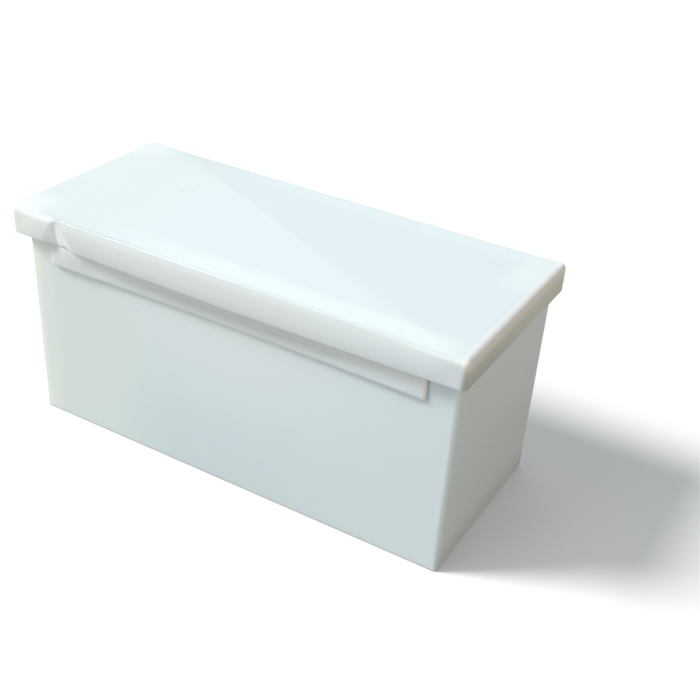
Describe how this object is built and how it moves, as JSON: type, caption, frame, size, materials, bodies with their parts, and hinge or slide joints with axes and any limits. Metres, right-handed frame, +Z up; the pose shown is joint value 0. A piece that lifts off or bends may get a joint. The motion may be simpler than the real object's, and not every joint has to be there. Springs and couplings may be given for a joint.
{
  "type": "soap loaf mould",
  "caption": "Covered rectangular loaf mould for soap: a rigid outer box, a lift-out silicone liner with side flaps, and a lift-off cap lid with a thumb notch.",
  "frame": {"origin": "centre of the flat underside of the outer box", "axes": "+X along the loaf, +Y across it, +Z up; the thumb notch is on the -Y side near the -X end"},
  "size_m": [0.268, 0.1186, 0.1275],
  "materials": {
    "box_plastic": "satin white moulded plastic, slightly translucent",
    "liner_silicone": "soft milky white silicone",
    "lid_plastic": "soft gloss milky white plastic"
  },
  "bodies": {
    "box": {"outer_box": "box_plastic"},
    "liner": {"silicone_liner": "liner_silicone"},
    "lid": {"lid": "lid_plastic"}
  },
  "joints": [
    {"name": "liner_lift", "type": "slide", "parent": "box", "child": "liner", "axis": [0, 0, 1], "range_m": [0, 0.13]},
    {"name": "lid_lift", "type": "slide", "parent": "liner", "child": "lid", "axis": [0, 0, 1], "range_m": [0, 0.06]}
  ]
}
